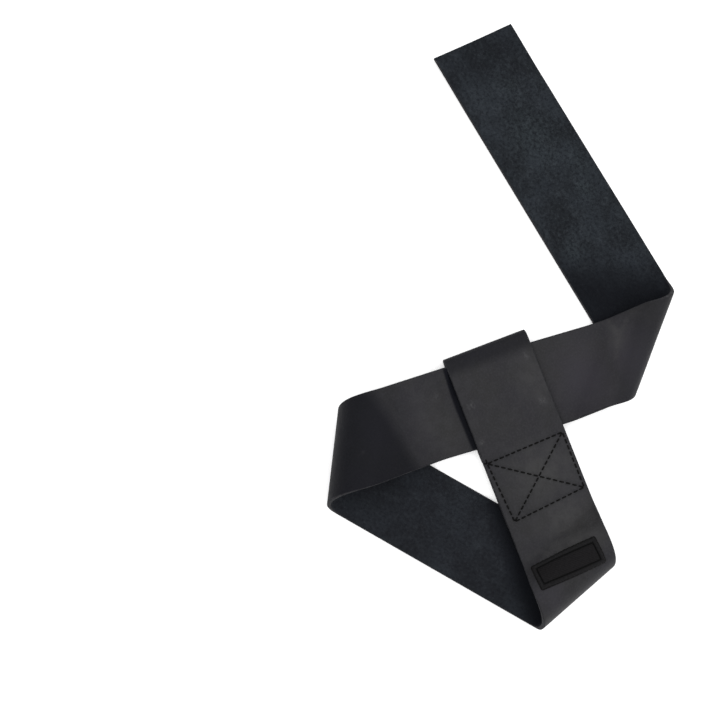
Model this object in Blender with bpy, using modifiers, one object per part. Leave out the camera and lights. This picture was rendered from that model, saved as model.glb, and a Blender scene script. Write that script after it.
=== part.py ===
"""A leather weightlifting strap, laid out as it rests on a table.

One long strip of leather is folded back at one end and sewn to itself, which makes a small eye.
The rest of the strip runs round through that eye, so that it closes a wrist loop and leaves a long tail.
Sizes are in metres and +Z is up. The strip bends only about straight lines across it, as real leather
does, so it keeps its flat length and width everywhere. A place on it is given by two flat coordinates:
along, which is 0 where it passes through its own eye and grows towards the sewn end, and across, from its
middle line.
"""

import math

import bmesh
import bpy
from mathutils import Vector

# The strip of leather
STRAP_LENGTH = 0.644
STRAP_WIDTH = 0.038
LEATHER = 0.0018
LAYER_GAP = 0.0003
CUT_EDGE_ROUND = 0.0003
END_SKEW = 0.0035

# The eye: its sewn stretch, and the way the under layer climbs to meet the upper one
EYE_CLEARANCE = 0.0003
STEP_RADIUS = 0.0030
SEAM_GAP = 0.0040
SEWN_LENGTH = 0.026
SEWN_MARGIN = 0.0020

# The woven label, sewn across the leg of the wrist loop
LABEL_LENGTH = 0.029
LABEL_WIDTH = 0.0105
LABEL_THICKNESS = 0.0008
LABEL_EDGE_ROUND = 0.00016
LABEL_AFTER_SEAM = 0.0215
LABEL_OFFSET = -0.0010
LABEL_TURN = 3.5

# How far each fold lies from the eye, beyond one strap width
TAIL_RUN = 0.0334
FAR_RUN = 0.0462
LEG_RUN = 0.0310

# Where each run points on the table, in degrees from +X
TAIL_HEADING = -59.9
FRONT_HEADING = 196.4
LEG_HEADING = 110.8

# The radius that this leather bends to by itself, and each fold as shares of it: low is the radius nearer
# the table, high the one nearer the top, and foot the one where the strip flattens out again.
# slope is how steeply the strip comes down between high and foot, in degrees
BEND_RADIUS = 0.010
FOLDS = {
    "tail": {"low": 0.55, "high": 0.68, "slope": 36.0, "foot": 1.60},
    "far": {"low": 0.80, "high": 1.25, "slope": 31.0, "foot": 1.20},
    "leg": {"low": 0.30, "high": 1.10, "slope": 43.0, "foot": 1.00},
}

# Mesh fineness: degrees of bend between cross lines, angles that count as an edge, and the label's cells
TURN_STEP = 9.0
BEVEL_ANGLE = math.radians(60.0)
SHARP_ANGLE = math.radians(35.0)
LABEL_CELLS_LONG = 14
LABEL_CELLS_WIDE = 6

BLACK_GRAIN = (0.020, 0.020, 0.022, 1.0)
BLACK_WEAVE = (0.012, 0.012, 0.013, 1.0)
GRAIN_ROUGHNESS = 0.55
WEAVE_ROUGHNESS = 0.80

LAYER = LEATHER + LAYER_GAP
FLOOR_LEVEL = LEATHER / 2
FRONT_LEVEL = FLOOR_LEVEL + LAYER
LEG_LEVEL = FRONT_LEVEL + LAYER
UP = Vector((0.0, 0.0, 1.0))


def heading(degrees):
    """The level direction that points this many degrees from +X."""
    return Vector((math.cos(math.radians(degrees)), math.sin(math.radians(degrees)), 0.0))


class Profile:
    """The side view of a bend: lines and arcs, entered level, as pairs of turn and length or radius."""

    def __init__(self, pieces):
        self.pieces = []
        travel, place = 0.0, (0.0, 0.0, 0.0)
        for turn, size in pieces:
            length = abs(turn) * size if turn else size
            self.pieces.append((travel, length, turn, size, place))
            place = self.follow(length, turn, size, place)
            travel += length
        self.length = travel
        self.reach, self.rise, self.angle = place

    @staticmethod
    def follow(part, turn, size, place):
        """Where a part of one piece leads from place, which holds x, z and the angle above level."""
        x, z, angle = place
        if not turn:
            return x + part * math.cos(angle), z + part * math.sin(angle), angle
        way = math.copysign(1.0, turn)
        after = angle + way * part / size
        across = way * size * (math.sin(after) - math.sin(angle))
        up = way * size * (math.cos(angle) - math.cos(after))
        return x + across, z + up, after

    def at(self, travel):
        """x, z and the angle above level at a travel, straight on beyond both ends."""
        if travel <= 0.0:
            return travel, 0.0, 0.0
        for start, length, turn, size, place in self.pieces:
            if travel <= start + length:
                return self.follow(travel - start, turn, size, place)
        return self.follow(travel - self.length, 0.0, 0.0, (self.reach, self.rise, self.angle))

    def marks(self):
        """The travels where the strip needs a cross line: every few degrees of turn."""
        found = [0.0]
        for start, length, turn, _, _ in self.pieces:
            steps = max(1, math.ceil(abs(turn) / math.radians(TURN_STEP)))
            found += [start + length * step / steps for step in range(1, steps + 1)]
        return found


def fold_profile(row, climb):
    """From the table up through a fold and down to a run that lies climb higher than the table one."""
    low, high, foot = (row[name] * BEND_RADIUS for name in ("low", "high", "foot"))
    slope = math.radians(row["slope"])
    drop = low + high * math.cos(slope) - foot * (1 - math.cos(slope)) - climb
    quarter = math.pi / 2
    return [(quarter, low), (quarter + slope, high), (0.0, drop / math.sin(slope)), (-slope, foot)]


def backwards(pieces):
    """The same side view walked from its other end."""
    return [(-turn, size) for turn, size in reversed(pieces)]


class Bend:
    """One bend of the strip in space. Its creases lie along crease, square to out."""

    def __init__(self, pieces, entry, leaving, level, suede_up):
        self.profile = Profile(pieces)
        self.entry = entry
        self.out = entry if entry == leaving else (entry - leaving).normalized()
        self.crease = UP.cross(self.out)
        self.level = level
        self.side = 1.0 if suede_up else -1.0
        self.width_way = self.side * UP.cross(entry)
        self.along_out = entry.dot(self.out)
        self.virtual = (self.profile.length + self.profile.reach) / 2

    def before_corner(self):
        """How far before the corner of its two runs the bend starts, along the strip."""
        return self.virtual / self.along_out

    def after_corner(self):
        """How far after that corner the bend ends, along the strip."""
        return (self.virtual - self.profile.reach) / self.along_out

    def strip_length(self):
        """The strip that the bend takes up, along its middle line."""
        return self.profile.length / self.along_out

    def seat(self, start, along):
        """Puts the bend's start at a place on the table and on the strip."""
        self.start, self.along = start, along
        self.end_along = along + self.strip_length()

    def place(self, along, across, lift):
        """A point of the strip, lifted off its middle surface towards the grain side."""
        flat = (along - self.along) * self.entry + across * self.width_way
        x, z, angle = self.profile.at(flat.dot(self.out))
        suede = self.side * (math.cos(angle) * UP - math.sin(angle) * self.out)
        level = self.start + x * self.out + flat.dot(self.crease) * self.crease
        return level + (self.level + z) * UP - lift * suede

    def crease_along(self, travel, across):
        """Where the crease at this travel meets the line at this distance from the strip's middle."""
        return self.along + (travel - across * self.width_way.dot(self.out)) / self.along_out


def lay_out():
    """The bends in order from the tail to the sewn end, and where the strip starts and ends along itself."""
    tail, front, leg = heading(TAIL_HEADING), heading(FRONT_HEADING), heading(LEG_HEADING)
    tail_corner = -front * (STRAP_WIDTH + TAIL_RUN)
    far_corner = front * (STRAP_WIDTH + FAR_RUN)
    leg_corner = -leg * (STRAP_WIDTH + SEWN_LENGTH + LEG_RUN)
    back = (leg_corner - far_corner).normalized()

    to_front = LAYER
    to_leg = 2 * LAYER
    tail_bend = Bend(fold_profile(FOLDS["tail"], to_front), tail, front, FLOOR_LEVEL, True)
    far_bend = Bend(backwards(fold_profile(FOLDS["far"], to_front)), front, back, FRONT_LEVEL, False)
    leg_bend = Bend(fold_profile(FOLDS["leg"], to_leg), back, leg, FLOOR_LEVEL, True)
    eye_bend = Bend([(-math.pi, to_leg / 2)], leg, -leg, LEG_LEVEL, False)
    step_turn = math.acos(1 - LAYER / (2 * STEP_RADIUS))
    step = Bend([(step_turn, STEP_RADIUS), (-step_turn, STEP_RADIUS)], -leg, -leg, FLOOR_LEVEL, True)

    # The eye closes just past the corners of the run that goes through it
    crossing = front.angle(leg)
    eye_reach = STRAP_WIDTH / 2 * (1 + abs(math.cos(crossing))) / math.sin(crossing) + EYE_CLEARANCE

    tail_end = tail_bend.after_corner() - tail_corner.length
    tail_bend.seat(tail_corner - tail * tail_bend.before_corner(), tail_end - tail_bend.strip_length())
    far_start = far_corner.length - far_bend.before_corner()
    far_bend.seat(front * far_start, far_start)
    back_length = (leg_corner - far_corner).length - far_bend.after_corner() - leg_bend.before_corner()
    leg_bend.seat(leg_corner - back * leg_bend.before_corner(), far_bend.end_along + back_length)
    leg_length = leg_corner.length - leg_bend.after_corner()
    eye_bend.seat(leg * eye_reach, leg_bend.end_along + leg_length + eye_reach)
    step.seat(-leg * eye_reach, eye_bend.end_along + 2 * eye_reach)

    past_step = SEAM_GAP + SEWN_LENGTH + SEWN_MARGIN - step.profile.reach
    sewn_end = step.end_along + past_step
    return [tail_bend, far_bend, leg_bend, eye_bend, step], sewn_end - STRAP_LENGTH, sewn_end


BENDS, TAIL_END, SEWN_END = lay_out()


def place(along, across, lift=0.0):
    """A point of the strip from its flat coordinates, by the bend that it is nearest to."""
    nearest = min(BENDS, key=lambda bend: max(bend.along - along, along - bend.end_along))
    return nearest.place(along, across, lift)


def cross_lines(lift=0.0):
    """The strip's cross lines from end to end, each as its two ends, lifted towards the grain side."""
    edges = (STRAP_WIDTH / 2, -STRAP_WIDTH / 2)
    skew = (END_SKEW / 2, -END_SKEW / 2)
    lines = [[BENDS[0].place(TAIL_END + shift, across, lift) for across, shift in zip(edges, skew)]]
    for bend in BENDS:
        for travel in bend.profile.marks():
            lines.append([bend.place(bend.crease_along(travel, across), across, lift) for across in edges])
    lines.append([BENDS[-1].place(SEWN_END, across, lift) for across in edges])
    return lines


def sheet_mesh(name, rows):
    """An open surface through rows of points."""
    bm = bmesh.new()
    grid = [[bm.verts.new(point) for point in row] for row in rows]
    for row, after in zip(grid, grid[1:]):
        for left in range(len(row) - 1):
            bm.faces.new((row[left], row[left + 1], after[left + 1], after[left]))
    bmesh.ops.recalc_face_normals(bm, faces=bm.faces)
    mesh = bpy.data.meshes.new(name)
    bm.to_mesh(mesh)
    bm.free()
    return mesh


def walled(name, rows, thickness, edge_round, material, collection, parent):
    """An object whose wall lies evenly on both sides of an open surface."""
    thing = bpy.data.objects.new(name, sheet_mesh(name, rows))
    collection.objects.link(thing)
    thing.parent = parent
    thing.data.materials.append(material)
    wall = thing.modifiers.new("wall", "SOLIDIFY")
    wall.thickness = thickness
    wall.offset = 0.0
    wall.use_even_offset = True
    soften = thing.modifiers.new("cut_edges", "BEVEL")
    soften.width = edge_round
    soften.segments = 1
    soften.limit_method = "ANGLE"
    soften.angle_limit = BEVEL_ANGLE
    thing.data.shade_smooth()
    thing.data.set_sharp_from_angle(angle=SHARP_ANGLE)
    return thing


def plain_material(name, colour, roughness):
    """A material of one colour."""
    material = bpy.data.materials.new(name)
    material.use_nodes = True
    shader = material.node_tree.nodes["Principled BSDF"]
    shader.inputs["Base Color"].default_value = colour
    shader.inputs["Roughness"].default_value = roughness
    shader.inputs["Metallic"].default_value = 0.0
    return material


def label_rows():
    """The label's middle surface, which follows the leather under it. It is sewn on a little askew."""
    lift = LEATHER / 2 + LAYER_GAP + LABEL_THICKNESS / 2
    eye_bend, step = BENDS[3:]
    seam_end = eye_bend.along - (eye_bend.start.length + step.start.length + SEAM_GAP + SEWN_LENGTH)
    centre = seam_end - LABEL_AFTER_SEAM - LABEL_WIDTH / 2
    turn = math.radians(LABEL_TURN)
    rows = []
    for step_wide in range(LABEL_CELLS_WIDE + 1):
        wide = LABEL_WIDTH * (step_wide / LABEL_CELLS_WIDE - 0.5)
        row = []
        for step_long in range(LABEL_CELLS_LONG + 1):
            long = LABEL_LENGTH * (step_long / LABEL_CELLS_LONG - 0.5)
            along = centre + wide * math.cos(turn) + long * math.sin(turn)
            across = LABEL_OFFSET + long * math.cos(turn) - wide * math.sin(turn)
            row.append(place(along, across, lift))
        rows.append(row)
    return rows


def strap_middle():
    """The middle of the strap's box on the table, seen from where the strip passes through its eye."""
    points = [point for side in (0.5, -0.5) for line in cross_lines(side * LEATHER) for point in line]
    middle = Vector((0.0, 0.0, 0.0))
    for axis in (0, 1):
        values = [point[axis] for point in points]
        middle[axis] = (min(values) + max(values)) / 2
    return middle


def main():
    for thing in list(bpy.data.objects):
        bpy.data.objects.remove(thing)
    collection = bpy.data.collections.new("weightlifting_strap")
    bpy.context.scene.collection.children.link(collection)

    middle = bpy.data.objects.new("strap_middle", None)
    middle.location = -strap_middle()
    collection.objects.link(middle)

    leather = plain_material("black_grain_leather", BLACK_GRAIN, GRAIN_ROUGHNESS)
    weave = plain_material("black_woven_label", BLACK_WEAVE, WEAVE_ROUGHNESS)
    walled("leather_strap", cross_lines(), LEATHER, CUT_EDGE_ROUND, leather, collection, middle)
    walled("label_patch", label_rows(), LABEL_THICKNESS, LABEL_EDGE_ROUND, weave, collection, middle)


main()
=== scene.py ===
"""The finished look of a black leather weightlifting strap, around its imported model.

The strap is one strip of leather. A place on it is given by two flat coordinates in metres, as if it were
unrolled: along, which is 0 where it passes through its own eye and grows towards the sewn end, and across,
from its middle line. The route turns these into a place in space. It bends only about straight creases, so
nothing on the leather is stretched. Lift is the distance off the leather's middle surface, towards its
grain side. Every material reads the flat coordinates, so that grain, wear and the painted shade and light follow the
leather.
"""

import math

import bmesh
import bpy
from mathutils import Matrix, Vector, noise

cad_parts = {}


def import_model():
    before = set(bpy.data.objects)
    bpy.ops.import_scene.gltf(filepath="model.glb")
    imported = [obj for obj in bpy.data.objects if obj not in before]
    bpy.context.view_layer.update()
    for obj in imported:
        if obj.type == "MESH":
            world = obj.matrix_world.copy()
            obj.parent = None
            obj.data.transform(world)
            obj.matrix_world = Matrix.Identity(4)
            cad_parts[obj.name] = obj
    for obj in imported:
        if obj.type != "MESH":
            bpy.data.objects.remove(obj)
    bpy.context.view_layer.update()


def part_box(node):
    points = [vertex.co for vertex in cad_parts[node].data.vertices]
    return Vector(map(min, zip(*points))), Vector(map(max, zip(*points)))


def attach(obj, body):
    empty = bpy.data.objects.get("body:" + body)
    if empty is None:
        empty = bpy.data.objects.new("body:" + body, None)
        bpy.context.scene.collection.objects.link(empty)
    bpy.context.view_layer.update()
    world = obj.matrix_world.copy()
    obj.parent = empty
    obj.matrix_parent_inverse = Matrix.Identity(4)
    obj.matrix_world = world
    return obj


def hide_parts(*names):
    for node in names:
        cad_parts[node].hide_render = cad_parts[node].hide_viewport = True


# The strap as it was modelled
STRAP_LENGTH = 0.644
STRAP_WIDTH = 0.038
LEATHER = 0.0018
LAYER_GAP = 0.0003
END_SKEW = 0.0035
EYE_CLEARANCE = 0.0003
STEP_RADIUS = 0.0030
SEAM_GAP = 0.0040
SEWN_LENGTH = 0.026
SEWN_MARGIN = 0.0020
LABEL_LENGTH = 0.029
LABEL_WIDTH = 0.0105
LABEL_THICKNESS = 0.0008
LABEL_AFTER_SEAM = 0.0215
LABEL_OFFSET = -0.0010
LABEL_TURN = 3.5
TAIL_RUN = 0.0334
FAR_RUN = 0.0462
LEG_RUN = 0.0310
TAIL_HEADING = -59.9
FRONT_HEADING = 196.4
LEG_HEADING = 110.8
BEND_RADIUS = 0.010
FOLDS = {
    "tail": {"low": 0.55, "high": 0.68, "slope": 36.0, "foot": 1.60},
    "far": {"low": 0.80, "high": 1.25, "slope": 31.0, "foot": 1.20},
    "leg": {"low": 0.30, "high": 1.10, "slope": 43.0, "foot": 1.00},
}

LAYER = LEATHER + LAYER_GAP
FLOOR_LEVEL = LEATHER / 2
FRONT_LEVEL = FLOOR_LEVEL + LAYER
LEG_LEVEL = FRONT_LEVEL + LAYER
UP = Vector((0.0, 0.0, 1.0))

# How finely the leather is meshed: the cell across, and the cell along in each kind of stretch
CELLS_ACROSS = 58
EDGE_STEPS = 3
EDGE_ROUND = 0.00045
STEP_PLAIN = 0.0014
STEP_BEND = 0.0008
STEP_SEWN = 0.0006
STEP_EYE = 0.00033
SKEW_FADE = 0.030

# The strap lies on the table and never under it
TABLE_LEVEL = 0.0


def heading(degrees):
    """The level direction that points this many degrees from +X."""
    return Vector((math.cos(math.radians(degrees)), math.sin(math.radians(degrees)), 0.0))


class Profile:
    """The side view of a bend: straight pieces and arcs, entered level, each a pair of turn and length or radius."""

    def __init__(self, pieces):
        self.pieces = []
        travel, place = 0.0, (0.0, 0.0, 0.0)
        for turn, size in pieces:
            length = abs(turn) * size if turn else size
            self.pieces.append((travel, length, turn, size, place))
            place = self.follow(length, turn, size, place)
            travel += length
        self.length = travel
        self.reach, self.rise, self.angle = place

    @staticmethod
    def follow(part, turn, size, place):
        """Where a part of one piece leads from place, which holds x, z and the angle above level."""
        x, z, angle = place
        if not turn:
            return x + part * math.cos(angle), z + part * math.sin(angle), angle
        way = math.copysign(1.0, turn)
        after = angle + way * part / size
        across = way * size * (math.sin(after) - math.sin(angle))
        up = way * size * (math.cos(angle) - math.cos(after))
        return x + across, z + up, after

    def at(self, travel):
        """x, z and the angle above level at a travel, straight on beyond both ends."""
        if travel <= 0.0:
            return travel, 0.0, 0.0
        for start, length, turn, size, place in self.pieces:
            if travel <= start + length:
                return self.follow(travel - start, turn, size, place)
        return self.follow(travel - self.length, 0.0, 0.0, (self.reach, self.rise, self.angle))


def fold_profile(row, climb):
    """From the table up through a fold and down to a run that lies climb higher than the table one."""
    low, high, foot = (row[name] * BEND_RADIUS for name in ("low", "high", "foot"))
    slope = math.radians(row["slope"])
    drop = low + high * math.cos(slope) - foot * (1 - math.cos(slope)) - climb
    quarter = math.pi / 2
    return [(quarter, low), (quarter + slope, high), (0.0, drop / math.sin(slope)), (-slope, foot)]


def backwards(pieces):
    """The same side view walked from its other end."""
    return [(-turn, size) for turn, size in reversed(pieces)]


class Bend:
    """One bend of the strip in space. Its creases lie along crease, square to out."""

    def __init__(self, pieces, entry, leaving, level, suede_up):
        self.profile = Profile(pieces)
        self.entry = entry
        self.out = entry if entry == leaving else (entry - leaving).normalized()
        self.crease = UP.cross(self.out)
        self.level = level
        self.side = 1.0 if suede_up else -1.0
        self.width_way = self.side * UP.cross(entry)
        self.along_out = entry.dot(self.out)
        self.virtual = (self.profile.length + self.profile.reach) / 2

    def before_corner(self):
        """How far before the corner of its two runs the bend starts, along the strip."""
        return self.virtual / self.along_out

    def after_corner(self):
        """How far after that corner the bend ends, along the strip."""
        return (self.virtual - self.profile.reach) / self.along_out

    def seat(self, start, along):
        """Puts the bend's start at a place on the table and on the strip."""
        self.start, self.along = start, along
        self.end_along = along + self.profile.length / self.along_out

    def place(self, along, across, lift):
        """A point of the strip, lifted off its middle surface towards the grain side."""
        flat = (along - self.along) * self.entry + across * self.width_way
        x, z, angle = self.profile.at(flat.dot(self.out))
        suede = self.side * (math.cos(angle) * UP - math.sin(angle) * self.out)
        level = self.start + x * self.out + flat.dot(self.crease) * self.crease
        return level + (self.level + z) * UP - lift * suede


class Route:
    """The whole strip as it lies, from the tail's end to the sewn end."""

    def __init__(self):
        tail, front, leg = heading(TAIL_HEADING), heading(FRONT_HEADING), heading(LEG_HEADING)
        tail_corner = -front * (STRAP_WIDTH + TAIL_RUN)
        far_corner = front * (STRAP_WIDTH + FAR_RUN)
        leg_corner = -leg * (STRAP_WIDTH + SEWN_LENGTH + LEG_RUN)
        back = (leg_corner - far_corner).normalized()

        self.tail = Bend(fold_profile(FOLDS["tail"], LAYER), tail, front, FLOOR_LEVEL, True)
        self.far = Bend(backwards(fold_profile(FOLDS["far"], LAYER)), front, back, FRONT_LEVEL, False)
        self.leg = Bend(fold_profile(FOLDS["leg"], 2 * LAYER), back, leg, FLOOR_LEVEL, True)
        self.eye = Bend([(-math.pi, LAYER)], leg, -leg, LEG_LEVEL, False)
        step_turn = math.acos(1 - LAYER / (2 * STEP_RADIUS))
        self.step = Bend([(step_turn, STEP_RADIUS), (-step_turn, STEP_RADIUS)], -leg, -leg, FLOOR_LEVEL, True)
        self.bends = [self.tail, self.far, self.leg, self.eye, self.step]

        crossing = front.angle(leg)
        eye_reach = STRAP_WIDTH / 2 * (1 + abs(math.cos(crossing))) / math.sin(crossing) + EYE_CLEARANCE
        tail_end = self.tail.after_corner() - tail_corner.length
        self.tail.seat(
            tail_corner - tail * self.tail.before_corner(),
            tail_end - self.tail.profile.length / self.tail.along_out,
        )
        far_start = far_corner.length - self.far.before_corner()
        self.far.seat(front * far_start, far_start)
        back_length = (leg_corner - far_corner).length - self.far.after_corner() - self.leg.before_corner()
        self.leg.seat(leg_corner - back * self.leg.before_corner(), self.far.end_along + back_length)
        leg_length = leg_corner.length - self.leg.after_corner()
        self.eye.seat(leg * eye_reach, self.leg.end_along + leg_length + eye_reach)
        self.step.seat(-leg * eye_reach, self.eye.end_along + 2 * eye_reach)

        past_step = SEAM_GAP + SEWN_LENGTH + SEWN_MARGIN - self.step.profile.reach
        self.sewn_end = self.step.end_along + past_step
        self.tail_end = self.sewn_end - STRAP_LENGTH
        # The sewn box and the label on the leg, from the eye outwards
        self.eye_centre = self.eye.along - eye_reach
        self.seam_near = self.eye_centre - eye_reach - SEAM_GAP
        self.seam_far = self.seam_near - SEWN_LENGTH
        self.label_near = self.seam_far - LABEL_AFTER_SEAM
        self.label_far = self.label_near - LABEL_WIDTH
        self.under_centre = self.eye.end_along + eye_reach
        self.middle = Vector((0.0, 0.0, 0.0))

    def bend_at(self, along):
        """The bend that is nearest to a place along the strip."""
        return min(self.bends, key=lambda bend: max(bend.along - along, along - bend.end_along))

    def place(self, along, across, lift=0.0):
        """A point of the strip in the model's frame."""
        return self.bend_at(along).place(along, across, lift) - self.middle

    def under(self, along):
        """The place along the under layer that lies below a place along the leg."""
        return self.under_centre + (self.eye_centre - along)


def bump(distance, reach):
    """1 at no distance, falling smoothly to almost nothing at twice the reach."""
    return math.exp(-((distance / reach) ** 2))


def smooth_step(low, high, value):
    """0 below low, 1 above high, and a smooth rise between."""
    share = min(1.0, max(0.0, (value - low) / (high - low)))
    return share * share * (3.0 - 2.0 * share)


def segment_gap(point, start, end):
    """The distance from a flat point to a flat line, and the distance along that line."""
    span = (end[0] - start[0], end[1] - start[1])
    length = math.hypot(*span)
    share = ((point[0] - start[0]) * span[0] + (point[1] - start[1]) * span[1]) / length ** 2
    share = min(1.0, max(0.0, share))
    foot = (start[0] + share * span[0], start[1] + share * span[1])
    return math.hypot(point[0] - foot[0], point[1] - foot[1]), share * length


# The seams
STITCH_PITCH = 0.0028
STITCH_RADIUS = 0.00031
STITCH_SHORT = 0.16
STITCH_PULL = 0.00030
SEAM_WIDTH = 0.0010
HOLE_DEPTH = 0.00035
HOLE_REACH = 0.0006
# How far the hand-guided corners of the sewn box stray from the square, near and far from the eye,
# on the left and right edges as seen from the tail: along the strip, then across it
BOX_STRAY = {
    "near_left": (0.0002, -0.0005),
    "near_right": (0.0014, 0.0005),
    "far_right": (0.0023, 0.0005),
    "far_left": (-0.0008, 0.0015),
}

# The seam is locked at its near left corner with two short stitches, towards the edge and towards the eye
LOCK_STITCHES = [(0.0005, -0.0014), (0.0018, 0.0)]


def seam_lines(route):
    """The sewn box and its cross as pairs of flat points on the leg."""
    half = STRAP_WIDTH / 2 - SEWN_MARGIN
    corners = {
        "near_left": (route.seam_near, -half),
        "near_right": (route.seam_near, half),
        "far_right": (route.seam_far, half),
        "far_left": (route.seam_far, -half),
    }
    at = {
        name: (along + BOX_STRAY[name][0], across + BOX_STRAY[name][1])
        for name, (along, across) in corners.items()
    }
    order = ["near_left", "near_right", "far_right", "far_left"]
    box = [(at[a], at[b]) for a, b in zip(order, order[1:] + order[:1])]
    return box + [(at["near_left"], at["far_right"]), (at["near_right"], at["far_left"])]


def seam_holes(line):
    """The needle holes of one seam line, evenly spaced."""
    start, end = line
    length = math.hypot(end[0] - start[0], end[1] - start[1])
    count = max(1, round(length / STITCH_PITCH))
    return [
        (start[0] + (end[0] - start[0]) * k / count, start[1] + (end[1] - start[1]) * k / count)
        for k in range(count + 1)
    ]


# Creases where the leather has been folded before, as flat lines with a depth and a reach. The first three
# make the V beside the tail's fold
OLD_CREASES = [
    {"from": (-0.0535, 0.0170), "to": (-0.0560, 0.0095), "depth": 0.00010, "reach": 0.0010},
    {"from": (-0.0610, 0.0145), "to": (-0.0560, 0.0095), "depth": 0.00010, "reach": 0.0010},
    {"from": (-0.0560, 0.0095), "to": (-0.0518, 0.0005), "depth": 0.00008, "reach": 0.0014},
    {"from": (0.0540, -0.0190), "to": (0.0600, 0.0190), "depth": 0.00006, "reach": 0.0025},
]
UNEVEN_HEIGHT = 0.00016
UNEVEN_SPAN = 0.030
END_CURL = 0.0008


class Relief:
    """The leather's small departures from a perfect sheet, as lifts towards the grain side."""

    def __init__(self, route):
        self.route = route
        self.lines = seam_lines(route)
        self.holes = [hole for line in self.lines for hole in seam_holes(line)]

    def drift(self, along, across):
        """Slow unevenness of the whole sheet."""
        spot = Vector((along / UNEVEN_SPAN, across / UNEVEN_SPAN, 3.1))
        return UNEVEN_HEIGHT * noise.noise(spot)

    def sheet(self, along, across):
        """The lift of the whole thickness. Runs that lie on the table only rise from it."""
        route = self.route
        lift = self.drift(along, across)
        for crease in OLD_CREASES:
            gap, _ = segment_gap((along, across), crease["from"], crease["to"])
            if gap < 3 * crease["reach"]:
                lift -= crease["depth"] * bump(gap, crease["reach"])
        on_table = self.on_table(along)
        lift = lift * (1 - on_table) - abs(lift) * on_table
        to_end = along - route.tail_end
        curl = END_CURL * (1 - smooth_step(0.0, 0.030, to_end)) * (0.35 + 0.65 * (across / (STRAP_WIDTH / 2)) ** 2)
        packed = smooth_step(route.leg.end_along, route.leg.end_along + 0.02, along)
        return lift * (1 - 0.9 * packed) - curl

    def on_table(self, along):
        """1 on the runs that lie on the table with their grain side down, and 0 elsewhere."""
        route = self.route
        tail = 1 - smooth_step(route.tail.along - 0.004, route.tail.along + 0.010, along)
        back = smooth_step(route.far.end_along - 0.010, route.far.end_along, along)
        back *= 1 - smooth_step(route.leg.along, route.leg.along + 0.008, along)
        return max(tail, back)

    def grain(self, along, across):
        """The extra sink of the grain face along the seams, on the leg and under it."""
        route = self.route
        if along > route.step.end_along - 0.002:
            along = route.eye_centre - (along - route.under_centre)
        if not route.seam_far - 0.004 < along < route.seam_near + 0.006:
            return 0.0
        sink = 0.0
        for line in self.lines:
            gap, _ = segment_gap((along, across), *line)
            sink = max(sink, STITCH_PULL * bump(gap, SEAM_WIDTH))
        near = min(math.hypot(along - a, across - b) for a, b in self.holes)
        return -sink - HOLE_DEPTH * bump(near, HOLE_REACH)


def stations(route):
    """The places along the strip that get a row of the mesh, closer together where it bends or is sewn."""
    def step(along):
        if route.eye.along - 0.002 < along < route.eye.end_along + 0.001:
            return STEP_EYE
        if route.label_far - 0.004 < along < route.seam_near + 0.004:
            return STEP_SEWN
        if route.under(route.seam_near) - 0.002 < along:
            return STEP_SEWN
        spread = STRAP_WIDTH / 2
        for bend in route.bends:
            lean = spread * abs(bend.width_way.dot(bend.out)) / bend.along_out
            if bend.along - lean < along < bend.end_along + lean:
                return STEP_BEND
        return STEP_PLAIN

    found = [route.tail_end]
    while found[-1] < route.sewn_end:
        found.append(found[-1] + step(found[-1]))
    found[-1] = route.sewn_end
    return found


def skewed(route, along, across):
    """The place along the strip once the tail's end is cut a little out of square."""
    fade = max(0.0, 1 - (along - route.tail_end) / SKEW_FADE)
    return along + END_SKEW * across / STRAP_WIDTH * fade


def edge_arc():
    """Half of a cut edge's section: pairs of how far in from the edge and how far off the face, as shares."""
    angles = [math.pi / 2 * k / EDGE_STEPS for k in range(EDGE_STEPS + 1)]
    return [(1 - math.sin(a), 1 - math.cos(a)) for a in angles]


def section():
    """One closed section of the strip: across, side (1 grain, -1 suede), sink off that face, and material."""
    half = STRAP_WIDTH / 2
    arc = edge_arc()
    points = []
    flat = [half - EDGE_ROUND - (STRAP_WIDTH - 2 * EDGE_ROUND) * k / CELLS_ACROSS for k in range(CELLS_ACROSS + 1)]
    for side in (1, -1):
        row = flat if side == 1 else list(reversed(flat))
        points += [(across, side, 0.0, "face") for across in row]
        edge = -half if side == 1 else half
        inward = 1 if side == 1 else -1
        rim = [(edge + inward * EDGE_ROUND * inset, drop * EDGE_ROUND) for inset, drop in arc[1:]]
        points += [(across, side, drop, "edge") for across, drop in rim]
        points += [(across, -side, drop, "edge") for across, drop in reversed(rim)]
    return points


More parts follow.
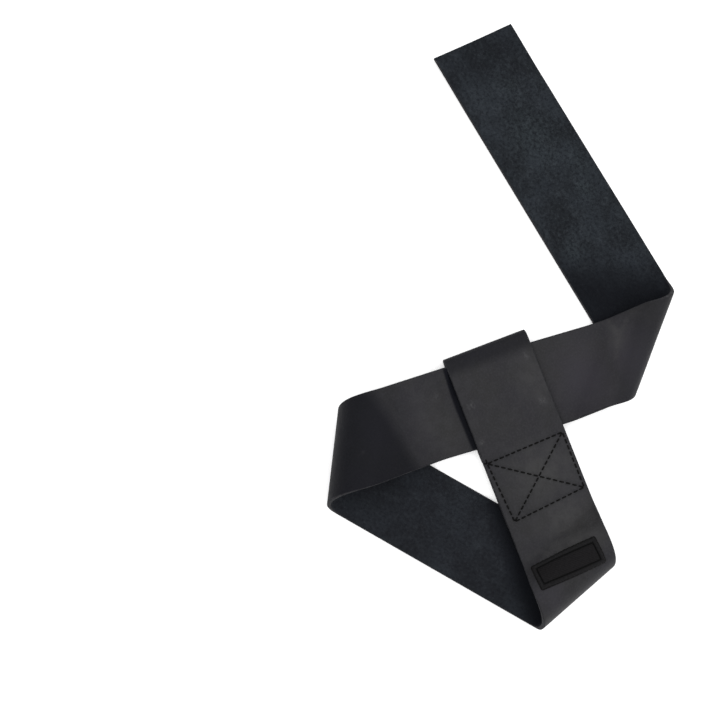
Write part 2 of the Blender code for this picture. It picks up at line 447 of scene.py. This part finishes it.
def strap_mesh(route, relief):
    """The whole strip as one closed mesh, with its flat coordinates kept at every point."""
    outline = section()
    rows = stations(route)
    half_wall = LEATHER / 2
    bm = bmesh.new()
    flat_layer = bm.verts.layers.float_vector.new("flat")
    rings = []
    for along in rows:
        ring = []
        for across, side, sink, _ in outline:
            there = skewed(route, along, across)
            lift = relief.sheet(there, across) + side * (half_wall - sink)
            if side == 1:
                lift += relief.grain(along, across)
            place = route.place(there, across, lift)
            place.z = max(place.z, TABLE_LEVEL)
            vert = bm.verts.new(place)
            vert[flat_layer] = (there, across, 0.0)
            ring.append(vert)
        rings.append(ring)
    count = len(outline)
    for ring, after in zip(rings, rings[1:]):
        for k in range(count):
            nxt = (k + 1) % count
            face = bm.faces.new((ring[k], ring[nxt], after[nxt], after[k]))
            both_faces = outline[k][3] == outline[nxt][3] == "face" and outline[k][1] == outline[nxt][1]
            face.material_index = (0 if outline[k][1] == 1 else 1) if both_faces else 2
            face.smooth = True
    for ring, flip in ((rings[0], False), (rings[-1], True)):
        half = count // 2
        for k in range(half - 1):
            quad = [ring[k], ring[k + 1], ring[count - 2 - k], ring[count - 1 - k]]
            if len(set(quad)) == 4:
                face = bm.faces.new(quad if flip else list(reversed(quad)))
                face.material_index = 2
    bmesh.ops.recalc_face_normals(bm, faces=bm.faces)
    mesh = bpy.data.meshes.new("strap_leather")
    bm.to_mesh(mesh)
    bm.free()
    mesh.set_sharp_from_angle(angle=math.radians(50.0))
    return mesh


def thread_tube(bm, path, radius, sides=6):
    """A round thread along a path of points, with both ends closed."""
    rings = []
    for k, point in enumerate(path):
        ahead = path[min(k + 1, len(path) - 1)] - path[max(k - 1, 0)]
        ahead.normalize()
        side = ahead.cross(UP if abs(ahead.z) < 0.9 else Vector((1.0, 0.0, 0.0))).normalized()
        other = side.cross(ahead)
        ring = []
        for n in range(sides):
            turn = 2 * math.pi * n / sides
            ring.append(bm.verts.new(point + radius * (math.cos(turn) * side + math.sin(turn) * other)))
        rings.append(ring)
    for ring, after in zip(rings, rings[1:]):
        for n in range(sides):
            face = bm.faces.new((ring[n], ring[(n + 1) % sides], after[(n + 1) % sides], after[n]))
            face.smooth = True
    bm.faces.new(list(reversed(rings[0])))
    bm.faces.new(rings[-1])


def stitch_path(route, relief, start, end, base, rise, layer_side):
    """One stitch's path from needle hole to needle hole over a face of the leather."""
    path = []
    steps = 9
    for k in range(steps + 1):
        share = k / steps
        along = start[0] + (end[0] - start[0]) * share
        across = start[1] + (end[1] - start[1]) * share
        arch = math.sin(math.pi * share) ** 0.5
        lift = base + rise * (2 * arch - 1)
        if layer_side == "under":
            path.append(route.place(route.under(along), across, lift + relief.grain(along, across)))
        else:
            path.append(route.place(along, across, lift + relief.grain(along, across)))
    return path


def sewn_threads(route, relief, layer_side):
    """The stitches of the sewn box, over the leg or under it."""
    bm = bmesh.new()
    for line in relief.lines:
        holes = seam_holes(line)
        for start, end in zip(holes, holes[1:]):
            span = (end[0] - start[0], end[1] - start[1])
            first = (start[0] + span[0] * STITCH_SHORT, start[1] + span[1] * STITCH_SHORT)
            last = (end[0] - span[0] * STITCH_SHORT, end[1] - span[1] * STITCH_SHORT)
            path = stitch_path(route, relief, first, last, LEATHER / 2, STITCH_RADIUS, layer_side)
            thread_tube(bm, path, STITCH_RADIUS)
    if layer_side == "over":
        corner = relief.lines[0][0]
        for ahead, aside in LOCK_STITCHES:
            loose = (corner[0] + ahead, corner[1] + aside)
            path = stitch_path(route, relief, corner, loose, LEATHER / 2, STITCH_RADIUS, layer_side)
            thread_tube(bm, path, STITCH_RADIUS)
    mesh = bpy.data.meshes.new("stitches_" + layer_side)
    bm.to_mesh(mesh)
    bm.free()
    return mesh


# The woven label: a folded hem round a flat woven field
HEM = 0.0017
HEM_RISE = 0.00090
FIELD_RISE = 0.00055
HEM_GROOVE = 0.00045
LABEL_CELL = 0.00022


def label_height(u, v):
    """How high the label's top lies over the leather, from the distances to its edges."""
    inset = min(LABEL_LENGTH / 2 - abs(u), LABEL_WIDTH / 2 - abs(v))
    if inset < HEM:
        share = inset / HEM
        return HEM_RISE * (0.45 + 0.55 * math.sin(math.pi * min(1.0, share * 1.05 + 0.08)) ** 0.7)
    groove = bump(inset - HEM, 0.0003)
    ribs = 0.00003 * math.sin(2 * math.pi * u / 0.0006) * math.sin(2 * math.pi * v / 0.0006)
    return FIELD_RISE - HEM_GROOVE * groove + ribs


def label_place(route, u, v, lift):
    """A point over the leather, from its distances along and across the label, which is sewn on askew."""
    turn = math.radians(LABEL_TURN)
    along = (route.label_near + route.label_far) / 2 + v * math.cos(turn) + u * math.sin(turn)
    return route.place(along, LABEL_OFFSET + u * math.cos(turn) - v * math.sin(turn), lift)


def label_mesh(route):
    """The label as a closed mesh that follows the leather under it."""
    count_u = round(LABEL_LENGTH / LABEL_CELL)
    count_v = round(LABEL_WIDTH / LABEL_CELL)
    bm = bmesh.new()
    flat_layer = bm.verts.layers.float_vector.new("flat")

    def vert(u, v, lift):
        made = bm.verts.new(label_place(route, u, v, lift))
        made[flat_layer] = (u, v, 0.0)
        return made

    grids = []
    for top in (True, False):
        grid = []
        for j in range(count_v + 1):
            v = LABEL_WIDTH * (j / count_v - 0.5)
            row = []
            for i in range(count_u + 1):
                u = LABEL_LENGTH * (i / count_u - 0.5)
                rise = label_height(u, v) if top else 0.00005
                row.append(vert(u, v, LEATHER / 2 + rise))
            grid.append(row)
        grids.append(grid)
    top, base = grids
    for grid in grids:
        for row, after in zip(grid, grid[1:]):
            for i in range(count_u):
                bm.faces.new((row[i], row[i + 1], after[i + 1], after[i]))
    rim = [(0, i) for i in range(count_u)]
    rim += [(j, count_u) for j in range(count_v)]
    rim += [(count_v, i) for i in range(count_u, 0, -1)]
    rim += [(j, 0) for j in range(count_v, 0, -1)]
    for (j, i), (jj, ii) in zip(rim, rim[1:] + rim[:1]):
        bm.faces.new((top[j][i], top[jj][ii], base[jj][ii], base[j][i]))
    bmesh.ops.recalc_face_normals(bm, faces=bm.faces)
    for face in bm.faces:
        face.smooth = True
    mesh = bpy.data.meshes.new("woven_label")
    bm.to_mesh(mesh)
    bm.free()
    mesh.set_sharp_from_angle(angle=math.radians(60.0))
    return mesh


def label_seam_mesh(route):
    """The thread that runs round the label's outer edge."""
    bm = bmesh.new()
    half_u, half_v = LABEL_LENGTH / 2 + 0.00005, LABEL_WIDTH / 2 + 0.00005
    corners = [(-half_u, -half_v), (half_u, -half_v), (half_u, half_v), (-half_u, half_v)]
    for start, end in zip(corners, corners[1:] + corners[:1]):
        length = math.hypot(end[0] - start[0], end[1] - start[1])
        count = round(length / 0.0021)
        for k in range(count):
            path = []
            for n in range(7):
                share = (k + 0.06 + 0.88 * n / 6) / count
                u = start[0] + (end[0] - start[0]) * share
                v = start[1] + (end[1] - start[1]) * share
                rise = 0.00015 + 0.00025 * math.sin(math.pi * n / 6) ** 0.6
                path.append(label_place(route, u, v, LEATHER / 2 + rise))
            thread_tube(bm, path, 0.00032, 5)
    mesh = bpy.data.meshes.new("label_seam")
    bm.to_mesh(mesh)
    bm.free()
    return mesh


class Shader:
    """A material built node by node."""

    def __init__(self, name):
        self.material = bpy.data.materials.new(name)
        self.material.use_nodes = True
        self.nodes = self.material.node_tree.nodes
        self.links = self.material.node_tree.links
        self.surface = self.nodes["Principled BSDF"]

    def put(self, socket, value):
        """Links a socket or sets its value."""
        if isinstance(value, bpy.types.NodeSocket):
            self.links.new(value, socket)
        else:
            socket.default_value = value

    def add(self, kind, inputs=None, **settings):
        """A new node with its settings and inputs."""
        node = self.nodes.new("ShaderNode" + kind)
        for name, value in settings.items():
            setattr(node, name, value)
        for name, value in (inputs or {}).items():
            self.put(node.inputs[name], value)
        return node

    def flat(self, shift=(0.0, 0.0, 0.0)):
        """The flat coordinates in metres, moved so that two patterns don't match."""
        place = self.add("Attribute", attribute_name="flat").outputs["Vector"]
        return self.add("VectorMath", {0: place, 1: shift}, operation="ADD").outputs[0]

    def noise(self, place, size, detail=3.0, rough=0.55, stretch=None):
        """Noise with patches of about this size in metres, from 0 to 1."""
        if stretch:
            place = self.add("VectorMath", {0: place, 1: stretch}, operation="MULTIPLY").outputs[0]
        node = self.add("TexNoise", {"Vector": place, "Scale": 1 / size, "Detail": detail, "Roughness": rough})
        return node.outputs["Fac"]

    def cells(self, place, size, feature="F1"):
        """Distance to the nearest point of a scatter with this spacing in metres."""
        node = self.add("TexVoronoi", {"Vector": place, "Scale": 1 / size}, feature=feature)
        return node.outputs["Distance"]

    def ramp(self, value, low, high, to_low=0.0, to_high=1.0, smooth=True):
        """A value mapped from one range to another, clamped."""
        node = self.add(
            "MapRange",
            {"Value": value, "From Min": low, "From Max": high, "To Min": to_low, "To Max": to_high},
            interpolation_type="SMOOTHSTEP" if smooth else "LINEAR",
        )
        return node.outputs["Result"]

    def math(self, kind, a, b=0.0):
        """A sum, product or other two-number operation."""
        return self.add("Math", {0: a, 1: b}, operation=kind).outputs[0]

    def blend(self, share, a, b, kind="MIX"):
        """Two colours mixed."""
        node = self.add("Mix", data_type="RGBA", blend_type=kind, clamp_factor=True)
        self.put(node.inputs["Factor"], share)
        for index, value in ((6, a), (7, b)):
            self.put(node.inputs[index], value)
        return node.outputs[2]

    def bump(self, height, depth, below=None):
        """A bump from a height of 0 to 1 that stands for a depth in metres."""
        node = self.add("Bump", {"Height": height, "Strength": 1.0, "Distance": depth})
        if below is not None:
            self.links.new(below, node.inputs["Normal"])
        return node.outputs["Normal"]

    def line_side(self, left, right, reach):
        """0 before a line across the strip and 1 past it, from its places along at the left and right edge."""
        place = self.add("Attribute", attribute_name="flat").outputs["Vector"]
        split = self.add("SeparateXYZ", {0: place})
        lean = self.math("MULTIPLY", split.outputs[1], (right - left) / STRAP_WIDTH)
        past = self.math("SUBTRACT", self.math("SUBTRACT", split.outputs[0], lean), (left + right) / 2)
        return self.ramp(past, -reach / 2, reach / 2)

    def near_line(self, start, end, reach):
        """1 on a flat line from one place to another, falling to 0 at this distance."""
        span = (end[0] - start[0], end[1] - start[1])
        length = math.hypot(*span)
        way = (span[0] / length, span[1] / length, 0.0)
        place = self.add("Attribute", attribute_name="flat").outputs["Vector"]
        moved = self.add("VectorMath", {0: place, 1: (-start[0], -start[1], 0.0)}, operation="ADD").outputs[0]
        ahead = self.add("VectorMath", {0: moved, 1: way}, operation="DOT_PRODUCT").outputs["Value"]
        ahead = self.ramp(ahead, 0.0, length, 0.0, length, False)
        foot = self.add("VectorMath", {0: way, "Scale": ahead}, operation="SCALE").outputs[0]
        gap = self.add("VectorMath", {0: moved, 1: foot}, operation="DISTANCE").outputs["Value"]
        return self.ramp(gap, reach, 0.0)

    def across_band(self, left, right, far_left, far_right, reach):
        """1 between two lines across the strip, with soft borders."""
        past = self.line_side(left, right, reach)
        beyond = self.line_side(far_left, far_right, reach)
        return self.math("SUBTRACT", past, beyond)

    def spot(self, along, across, length, width):
        """A soft oval patch at a flat place, from 0 outside to 1 at its middle."""
        place = self.add("Attribute", attribute_name="flat").outputs["Vector"]
        moved = self.add("VectorMath", {0: place, 1: (-along, -across, 0.0)}, operation="ADD").outputs[0]
        sized = self.add("VectorMath", {0: moved, 1: (1 / length, 1 / width, 1.0)}, operation="MULTIPLY").outputs[0]
        far = self.add("VectorMath", {0: sized}, operation="LENGTH").outputs["Value"]
        return self.ramp(far, 1.0, 0.0)


def painted_bands(shader, bands):
    """How strongly any of the bands across the strip covers a place."""
    cover = None
    for band in bands:
        inside = shader.across_band(*band["from"], *band["to"], band["reach"])
        part = shader.math("MULTIPLY", inside, band["strength"])
        cover = part if cover is None else shader.math("MAXIMUM", cover, part)
    return cover


def painted_spots(shader, spots):
    """How strongly any of the soft oval spots covers a place."""
    cover = None
    for spot in spots:
        part = shader.math("MULTIPLY", shader.spot(*spot["at"], *spot["size"]), spot["strength"])
        cover = part if cover is None else shader.math("MAXIMUM", cover, part)
    return cover


def painted_creases(shader, creases, reach):
    """How strongly any of the crease lines covers a place."""
    cover = None
    for crease in creases:
        line = shader.near_line(crease["from"], crease["to"], reach)
        cover = line if cover is None else shader.math("MAXIMUM", cover, line)
    return cover


# The leather's own colours
VIOLET_BLACK = (0.0108, 0.0104, 0.0136, 1.0)
NEUTRAL_BLACK = (0.0120, 0.0119, 0.0128, 1.0)
BLOOM = (0.0205, 0.0202, 0.0228, 1.0)
# A violet bloom, also used to paint light over the shade at the foot of the tail's fold
VIOLET_BLOOM_AND_LIGHT = (0.0280, 0.0250, 0.0340, 1.0)
PALE_DUST = (0.028, 0.027, 0.031, 1.0)
# Grey for worn places and creases, and for painted light on the leg and beside the tail's fold
WORN_AND_LIT_GREY = (0.048, 0.0475, 0.0470, 1.0)
SCUFF_GREY = (0.080, 0.080, 0.083, 1.0)
# The near black that the painted shade on the grain blends towards
PAINTED_SHADE_BLACK = (0.0018, 0.0022, 0.0046, 1.0)
# The grain's shine, and the lower shine inside the painted shade
GRAIN_SHINE = 0.22
SHADED_SHINE = 0.05
CREASE_WEAR = 0.20
CREASE_WEAR_REACH = 0.0022

# Painted shade on the grain, where the folds turn from the light and beside the eye's edges: between two lines
# across the strip, each given by its places along at the left and right edge, with the width of the soft border
SHADE = [
    # The far fold's painted shade, the eye's rolled edge, the painted shadow beside the eye's left edge, a softer
    # rim to the far fold's shade, and the shade at the foot of the tail's fold
    {"from": (0.0450, 0.0580), "to": (0.110, 0.110), "reach": 0.012, "strength": 0.72},
    {"from": (0.3270, 0.3270), "to": (0.350, 0.350), "reach": 0.006, "strength": 0.50},
    {"from": (0.0170, 0.0198), "to": (0.0197, 0.0234), "reach": 0.0013, "strength": 0.90},
    {"from": (0.0360, 0.0490), "to": (0.110, 0.110), "reach": 0.014, "strength": 0.22},
    {"from": (-0.0620, -0.0877), "to": (-0.0430, -0.0690), "reach": 0.006, "strength": 0.32},
]

# Where it is worn lighter, and where light is painted on over shade: flat place, half sizes, and how strongly
WEAR_AND_PAINTED_LIGHT = [
    {"at": (0.036, -0.003), "size": (0.018, 0.026), "strength": 0.16},
    {"at": (0.313, 0.014), "size": (0.018, 0.012), "strength": 0.30},
    # The next three paint light on the leg's slope by the sewn box and the label, over its shade
    {"at": (0.275, 0.004), "size": (0.020, 0.024), "strength": 0.42},
    {"at": (0.252, 0.006), "size": (0.018, 0.020), "strength": 0.44},
    {"at": (0.240, 0.002), "size": (0.012, 0.024), "strength": 0.48},
    # Painted light on the V beside the tail's fold
    {"at": (-0.0545, 0.0095), "size": (0.006, 0.010), "strength": 0.36},
]

# Where a violet bloom shows; the first spot also paints light over the shade at the foot of the tail's fold
BLOOM_AND_LIGHT_SPOTS = [
    {"at": (-0.037, -0.004), "size": (0.020, 0.028), "strength": 0.58},
    {"at": (0.040, 0.000), "size": (0.014, 0.026), "strength": 0.20},
    {"at": (-0.057, 0.000), "size": (0.016, 0.022), "strength": 0.50},
    {"at": (0.060, 0.000), "size": (0.012, 0.020), "strength": 0.25},
    {"at": (0.222, -0.012), "size": (0.012, 0.010), "strength": 0.30},
]

# Small pale scuffs
SCUFFS = [
    {"at": (0.3116, -0.0150), "size": (0.0034, 0.0026), "strength": 0.58},
    {"at": (0.3236, 0.0150), "size": (0.0030, 0.0022), "strength": 0.39},
    {"at": (0.3031, 0.0145), "size": (0.0030, 0.0032), "strength": 0.50},
    {"at": (0.2956, -0.0165), "size": (0.0024, 0.0018), "strength": 0.39},
    {"at": (0.0701, -0.0045), "size": (0.0030, 0.0014), "strength": 0.31},
    {"at": (0.0300, 0.0080), "size": (0.0040, 0.0030), "strength": 0.24},
]


def grain_leather():
    """The smooth outer face: black and dull, with a violet bloom, faint pores, light wear, and painted shade and
    painted light about the folds.
    """
    shader = Shader("grain_leather")
    clouds = shader.noise(shader.flat(), 0.020, 3.0, 0.5)
    mottle = shader.noise(shader.flat((3.0, 1.0, 0.0)), 0.0045, 4.0, 0.6)
    fine = shader.noise(shader.flat((7.0, 2.0, 0.0)), 0.0009, 3.0, 0.6)
    colour = shader.blend(shader.ramp(clouds, 0.35, 0.65), VIOLET_BLACK, NEUTRAL_BLACK)
    colour = shader.blend(shader.ramp(mottle, 0.38, 0.72, 0.0, 0.75), colour, BLOOM)
    colour = shader.blend(shader.ramp(fine, 0.42, 0.75, 0.0, 0.42), colour, PALE_DUST)

    # The violet bloom, partly painted light at the foot of the tail's fold
    colour = shader.blend(painted_spots(shader, BLOOM_AND_LIGHT_SPOTS), colour, VIOLET_BLOOM_AND_LIGHT)
    # Wear, and painted light on the leg and beside the tail's fold, in worn grey
    worn_and_lit = shader.math("MULTIPLY", painted_spots(shader, WEAR_AND_PAINTED_LIGHT), shader.ramp(mottle, 0.25, 0.60, 0.45, 1.0))
    colour = shader.blend(worn_and_lit, colour, WORN_AND_LIT_GREY)
    creased = painted_creases(shader, OLD_CREASES[:3], CREASE_WEAR_REACH)
    creased = shader.math("MULTIPLY", creased, shader.ramp(fine, 0.3, 0.6, 0.5 * CREASE_WEAR, CREASE_WEAR))
    colour = shader.blend(creased, colour, WORN_AND_LIT_GREY)
    flecks = shader.ramp(shader.noise(shader.flat((5.0, 8.0, 0.0)), 0.0016, 4.0, 0.7), 0.40, 0.70)
    scuffed = shader.math("MULTIPLY", painted_spots(shader, SCUFFS), flecks)
    colour = shader.blend(scuffed, colour, SCUFF_GREY)
    # Painted shade: the grain is darkened, and its shine lowered, on the far fold, the eye's rolled edge, beside the
    # eye's left edge and at the foot of the tail's fold
    shade = painted_bands(shader, SHADE)
    colour = shader.blend(shade, colour, PAINTED_SHADE_BLACK)
    shine = shader.ramp(shade, 0.0, 1.0, GRAIN_SHINE, SHADED_SHINE, False)

    pores = shader.cells(shader.flat((1.0, 5.0, 0.0)), 0.00055)
    wrinkle = shader.noise(shader.flat((2.0, 9.0, 0.0)), 0.0018, 3.0, 0.6)
    normal = shader.bump(pores, 0.00004)
    normal = shader.bump(wrinkle, 0.00010, normal)
    shader.put(shader.surface.inputs["Base Color"], colour)
    shader.put(shader.surface.inputs["Roughness"], shader.ramp(mottle, 0.3, 0.7, 0.58, 0.68))
    shader.put(shader.surface.inputs["Normal"], normal)
    shader.put(shader.surface.inputs["Specular IOR Level"], shine)
    return shader.material


# The nap's colours
DARK_NAP = (0.0105, 0.0124, 0.0150, 1.0)
NAP = (0.0180, 0.0218, 0.0268, 1.0)
LIGHT_NAP = (0.0345, 0.0408, 0.0478, 1.0)
TEAL_NAP = (0.0330, 0.0430, 0.0470, 1.0)
# Dark specks of the nap, and the colour that the painted shade on the nap blends towards
SPECK_AND_SHADE = (0.0024, 0.0029, 0.0048, 1.0)

# Painted shade on the nap, told as for the grain: beside the tail's fold and beside the leg, where the risen leather
# shades the nap. The last band darkens the tail's end
SUEDE_SHADE = [
    {"from": (-0.1250, -0.0990), "to": (-0.045, -0.045), "reach": 0.028, "strength": 0.84},
    {"from": (0.1985, 0.1560), "to": (0.250, 0.250), "reach": 0.014, "strength": 0.85},
    {"from": (-0.260, -0.260), "to": (-0.212, -0.212), "reach": 0.015, "strength": 0.25},
]

# The run on the table is greyer than the tail
GREY_NAP = (0.0078, 0.0078, 0.0104, 1.0)
GREYER = [{"from": (0.080, 0.080), "to": (0.250, 0.250), "reach": 0.020, "strength": 0.42}]

# Where it is brushed up lighter and bluer
TEAL_PATCHES = [
    {"at": (-0.149, 0.009), "size": (0.008, 0.006), "strength": 0.50},
    {"at": (-0.128, -0.010), "size": (0.009, 0.007), "strength": 0.45},
    {"at": (-0.205, 0.004), "size": (0.012, 0.010), "strength": 0.25},
    {"at": (-0.180, 0.000), "size": (0.024, 0.016), "strength": 0.42},
    {"at": (-0.160, 0.012), "size": (0.014, 0.008), "strength": 0.25},
]


def suede_leather():
    """The inner face: a short nap, blue-black, brushed into clouds and finely speckled, with painted shade beside
    the folds.
    """
    shader = Shader("suede_leather")
    clouds = shader.noise(shader.flat(), 0.018, 4.0, 0.60)
    brushed = shader.noise(shader.flat((4.0, 2.0, 0.0)), 0.0055, 5.0, 0.68, (0.8, 1.0, 1.0))
    speckle = shader.noise(shader.flat((8.0, 3.0, 0.0)), 0.0014, 4.0, 0.80)
    fibre = shader.noise(shader.flat((5.0, 6.0, 0.0)), 0.00045, 2.0, 0.8)
    colour = shader.blend(shader.ramp(clouds, 0.35, 0.68), DARK_NAP, NAP)
    colour = shader.blend(shader.ramp(brushed, 0.48, 0.80, 0.0, 0.70), colour, LIGHT_NAP)
    lifted = shader.math("MULTIPLY", painted_spots(shader, TEAL_PATCHES), shader.ramp(speckle, 0.35, 0.65))
    colour = shader.blend(lifted, colour, TEAL_NAP)
    colour = shader.blend(shader.ramp(speckle, 0.52, 0.36, 0.0, 0.60), colour, SPECK_AND_SHADE)
    colour = shader.blend(shader.ramp(speckle, 0.52, 0.68, 0.0, 0.50), colour, LIGHT_NAP)
    colour = shader.blend(painted_bands(shader, GREYER), colour, GREY_NAP)
    # Painted shade on the nap beside the tail's fold and the leg, and a darker tail's end
    colour = shader.blend(painted_bands(shader, SUEDE_SHADE), colour, SPECK_AND_SHADE)

    normal = shader.bump(fibre, 0.00012)
    normal = shader.bump(speckle, 0.00030, normal)
    normal = shader.bump(brushed, 0.00025, normal)
    shader.put(shader.surface.inputs["Base Color"], colour)
    shader.surface.inputs["Roughness"].default_value = 0.95
    shader.put(shader.surface.inputs["Normal"], normal)
    shader.surface.inputs["Specular IOR Level"].default_value = 0.12
    shader.surface.inputs["Sheen Weight"].default_value = 0.04
    shader.surface.inputs["Sheen Roughness"].default_value = 0.5
    shader.surface.inputs["Sheen Tint"].default_value = (0.80, 0.90, 1.0, 1.0)
    return shader.material


def cut_edge():
    """The dyed cut edge: dull and fibrous, a little greyer than the faces, partly as a painted highlight along its
    rim.
    """
    shader = Shader("cut_edge")
    fibre = shader.noise(shader.flat((2.0, 4.0, 0.0)), 0.0006, 3.0, 0.7, (0.4, 1.0, 1.0))
    # The edge's greyer tone: partly its own dyed colour, partly a painted highlight along the rim
    colour = shader.blend(shader.ramp(fibre, 0.3, 0.7), (0.010, 0.010, 0.012, 1.0), (0.026, 0.026, 0.029, 1.0))
    shader.put(shader.surface.inputs["Base Color"], colour)
    shader.surface.inputs["Roughness"].default_value = 0.75
    shader.surface.inputs["Specular IOR Level"].default_value = 0.15
    shader.put(shader.surface.inputs["Normal"], shader.bump(fibre, 0.00008))
    return shader.material


def thread():
    """Black waxed polyester thread."""
    shader = Shader("black_thread")
    place = shader.add("TexCoord").outputs["Object"]
    twist = shader.noise(place, 0.0004, 2.0, 0.5)
    shader.put(
        shader.surface.inputs["Base Color"],
        shader.blend(twist, (0.0016, 0.0015, 0.0015, 1.0), (0.0050, 0.0046, 0.0044, 1.0)),
    )
    shader.surface.inputs["Roughness"].default_value = 0.65
    shader.surface.inputs["Specular IOR Level"].default_value = 0.08
    shader.put(shader.surface.inputs["Normal"], shader.bump(twist, 0.00008))
    return shader.material


def woven_label():
    """Black ribbon weave, lighter on the folded hem."""
    shader = Shader("woven_label")
    place = shader.flat()
    split = shader.add("SeparateXYZ", {0: place})
    in_u = shader.math("SUBTRACT", LABEL_LENGTH / 2, shader.math("ABSOLUTE", split.outputs[0]))
    in_v = shader.math("SUBTRACT", LABEL_WIDTH / 2, shader.math("ABSOLUTE", split.outputs[1]))
    inset = shader.math("MINIMUM", in_u, in_v)
    on_hem = shader.ramp(inset, HEM + 0.0001, HEM - 0.0002)
    ribs = shader.add("TexWave", {"Vector": place, "Scale": 1 / 0.0019}, bands_direction="DIAGONAL").outputs["Fac"]
    fuzz = shader.noise(shader.flat((2.0, 7.0, 0.0)), 0.0008, 3.0, 0.7)
    field = shader.blend(shader.ramp(fuzz, 0.3, 0.7), (0.0022, 0.0021, 0.0024, 1.0), (0.0062, 0.0056, 0.0062, 1.0))
    field = shader.blend(shader.math("MULTIPLY", ribs, 0.30), field, (0.010, 0.009, 0.010, 1.0))
    hem = shader.blend(shader.ramp(fuzz, 0.3, 0.7), (0.0040, 0.0039, 0.0044, 1.0), (0.0085, 0.0082, 0.0088, 1.0))
    line = shader.ramp(shader.math("ABSOLUTE", shader.math("SUBTRACT", inset, HEM)), 0.00045, 0.0001)
    colour = shader.blend(on_hem, field, hem)
    colour = shader.blend(line, colour, (0.0008, 0.0008, 0.0010, 1.0))
    shader.put(shader.surface.inputs["Base Color"], colour)
    shader.surface.inputs["Roughness"].default_value = 0.85
    shader.put(shader.surface.inputs["Normal"], shader.bump(ribs, 0.00006, shader.bump(fuzz, 0.00005)))
    shader.surface.inputs["Specular IOR Level"].default_value = 0.15
    return shader.material


def lit_board():
    """A white board that glows a little, so that shadows on it stay faint."""
    shader = Shader("white_board")
    shader.surface.inputs["Base Color"].default_value = BOARD_WHITE
    shader.surface.inputs["Roughness"].default_value = 0.9
    shader.surface.inputs["Specular IOR Level"].default_value = 0.0
    shader.surface.inputs["Emission Color"].default_value = BOARD_WHITE
    shader.surface.inputs["Emission Strength"].default_value = BOARD_GLOW
    return shader.material


BOARD_WHITE = (0.93, 0.93, 0.93, 1.0)
BOARD_GLOW = 0.35


def piece(name, mesh, materials, replaces=None):
    """A visible piece of the strap, which rides on the one body."""
    thing = bpy.data.objects.new(name, mesh)
    bpy.context.scene.collection.objects.link(thing)
    for material in materials:
        mesh.materials.append(material)
    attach(thing, "root")
    if replaces:
        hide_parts(replaces)
    return thing


# The photograph's view
PHOTO_PIXELS = 720
SENSOR = 36.0
FOCAL_PIXELS = 1105.0
VIEW_TILT = math.radians(5.5)
VIEW_DISTANCE = 0.4795
EYE_PIXEL = (502.8, 396.2)


def add_camera(route):
    """A camera nearly overhead, placed so that the strap's eye falls on its pixel of the photograph."""
    data = bpy.data.cameras.new("photo_view")
    data.sensor_width = SENSOR
    data.lens = FOCAL_PIXELS / PHOTO_PIXELS * SENSOR
    data.clip_start = 0.01
    camera = bpy.data.objects.new("photo_view", data)
    bpy.context.scene.collection.objects.link(camera)
    up = Vector((0.0, math.cos(VIEW_TILT), math.sin(VIEW_TILT)))
    back = Vector((0.0, -math.sin(VIEW_TILT), math.cos(VIEW_TILT)))
    right_share = (EYE_PIXEL[0] - PHOTO_PIXELS / 2) / FOCAL_PIXELS
    up_share = (PHOTO_PIXELS / 2 - EYE_PIXEL[1]) / FOCAL_PIXELS
    aim = Vector((0.0, 0.0, FLOOR_LEVEL)) - route.middle
    shift = right_share * Vector((1.0, 0.0, 0.0)) + up_share * up - back
    camera.location = aim - VIEW_DISTANCE * shift
    camera.rotation_euler = (VIEW_TILT, 0.0, 0.0)
    bpy.context.scene.camera = camera


def add_light(name, place, aim, size, power, colour=(1.0, 1.0, 1.0)):
    """A square soft light that points at a place."""
    data = bpy.data.lights.new(name, "AREA")
    data.shape = "SQUARE"
    data.size = size
    data.energy = power
    data.color = colour
    light = bpy.data.objects.new(name, data)
    light.location = place
    light.rotation_euler = (Vector(aim) - Vector(place)).to_track_quat("-Z", "Y").to_euler()
    bpy.context.scene.collection.objects.link(light)


def add_stage():
    """A white floor, a dim room and soft lights, brightest from the right."""
    mesh = bpy.data.meshes.new("floor")
    reach = 3.0
    mesh.from_pydata([(-reach, -reach, 0), (reach, -reach, 0), (reach, reach, 0), (-reach, reach, 0)], [], [(0, 1, 2, 3)])
    floor = bpy.data.objects.new("floor", mesh)
    mesh.materials.append(lit_board())
    bpy.context.scene.collection.objects.link(floor)

    add_light("overhead", (-0.10, 0.00, 1.20), (0.0, 0.0, 0.0), 2.8, 24.0)
    add_light("right_window", (1.30, 0.35, 0.80), (0.0, 0.0, 0.0), 0.8, 6.0)
    world = bpy.data.worlds.new("room")
    world.use_nodes = True
    world.node_tree.nodes["Background"].inputs["Color"].default_value = (1.0, 1.0, 1.0, 1.0)
    world.node_tree.nodes["Background"].inputs["Strength"].default_value = 0.55
    bpy.context.scene.world = world
    bpy.context.scene.view_settings.view_transform = "Standard"


def main():
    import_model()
    route = Route()
    low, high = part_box("leather_strap")
    outer = [
        route.place(skewed(route, along, across), across, lift)
        for along in stations(route)
        for across in (-STRAP_WIDTH / 2, STRAP_WIDTH / 2)
        for lift in (-LEATHER / 2, LEATHER / 2)
    ]
    for axis in (0, 1):
        values = [point[axis] for point in outer]
        route.middle[axis] = (min(values) + max(values)) / 2 - (low[axis] + high[axis]) / 2
    relief = Relief(route)

    piece(
        "strap", strap_mesh(route, relief), [grain_leather(), suede_leather(), cut_edge()],
        "leather_strap",
    )
    piece("label", label_mesh(route), [woven_label()], "label_patch")
    black = thread()
    piece("box_stitches", sewn_threads(route, relief, "over"), [black])
    piece("box_stitches_under", sewn_threads(route, relief, "under"), [black])
    piece("label_stitches", label_seam_mesh(route), [black])
    add_camera(route)
    add_stage()


main()
